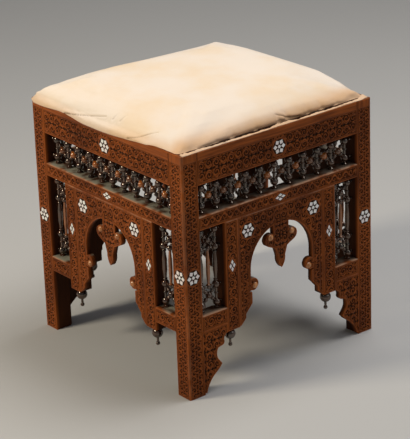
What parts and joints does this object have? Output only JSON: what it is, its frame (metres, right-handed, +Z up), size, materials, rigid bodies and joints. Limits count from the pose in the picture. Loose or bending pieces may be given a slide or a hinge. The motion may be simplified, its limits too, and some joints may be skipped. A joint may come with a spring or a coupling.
{
  "type": "carved wooden stool",
  "caption": "Square carved hardwood stool with turned lattice panels, fretted arches, pearl inlay and a padded drop-in seat that lifts out.",
  "frame": {"origin": "on the floor under the middle of the seat", "axes": "+Z up; the front, one of the two sides with leg brackets, faces -Y"},
  "size_m": [0.437, 0.437, 0.4856],
  "materials": {
    "carved_wood": "waxed, carved in low relief with dark ground",
    "turned_wood": "dark polished turnings",
    "stud_wood": "polished",
    "pearl": "mother-of-pearl",
    "plain_wood": "unfinished",
    "fixings": "dull",
    "cover_cloth": "plain woven cotton"
  },
  "bodies": {
    "frame": {"arch_board_back": "carved_wood", "arch_board_front": "carved_wood", "arch_board_left": "carved_wood", "arch_board_right": "carved_wood", "bracket_dowels": "plain_wood", "cleat_screws": "fixings", "corner_post_back_left": "carved_wood", "corner_post_back_right": "carved_wood", "corner_post_front_left": "carved_wood", "corner_post_front_right": "carved_wood", "foot_bracket_back_left": "carved_wood", "foot_bracket_back_right": "carved_wood", "foot_bracket_front_left": "carved_wood", "foot_bracket_front_right": "carved_wood", "lower_rail_back_left": "carved_wood", "lower_rail_back_right": "carved_wood", "lower_rail_front_left": "carved_wood", "lower_rail_front_right": "carved_wood", "lower_rail_left_left": "carved_wood", "lower_rail_left_right": "carved_wood", "lower_rail_right_left": "carved_wood", "lower_rail_right_right": "carved_wood", "mid_rail_back": "carved_wood", "mid_rail_front": "carved_wood", "mid_rail_left": "carved_wood", "mid_rail_right": "carved_wood", "pearl_diamonds": "pearl", "pearl_flowers": "pearl", "scroll_studs": "stud_wood", "seat_cleat_back": "plain_wood", "seat_cleat_front": "plain_wood", "seat_cleat_left": "plain_wood", "seat_cleat_right": "plain_wood", "side_lattice_back": "turned_wood", "side_lattice_front": "turned_wood", "side_lattice_left": "turned_wood", "side_lattice_right": "turned_wood", "stile_back_left": "carved_wood", "stile_back_right": "carved_wood", "stile_finials": "turned_wood", "stile_front_left": "carved_wood", "stile_front_right": "carved_wood", "stile_left_left": "carved_wood", "stile_left_right": "carved_wood", "stile_right_left": "carved_wood", "stile_right_right": "carved_wood", "top_rail_back": "carved_wood", "top_rail_front": "carved_wood", "top_rail_left": "carved_wood", "top_rail_right": "carved_wood", "upper_lattice_back": "turned_wood", "upper_lattice_front": "turned_wood", "upper_lattice_left": "turned_wood", "upper_lattice_right": "turned_wood"},
    "seat": {"seat_board": "plain_wood", "seat_cushion": "cover_cloth", "cover_tacks": "fixings"}
  },
  "joints": [
    {"name": "seat_lift", "type": "slide", "parent": "frame", "child": "seat", "axis": [0, 0, 1], "range_m": [0, 0.06]}
  ]
}
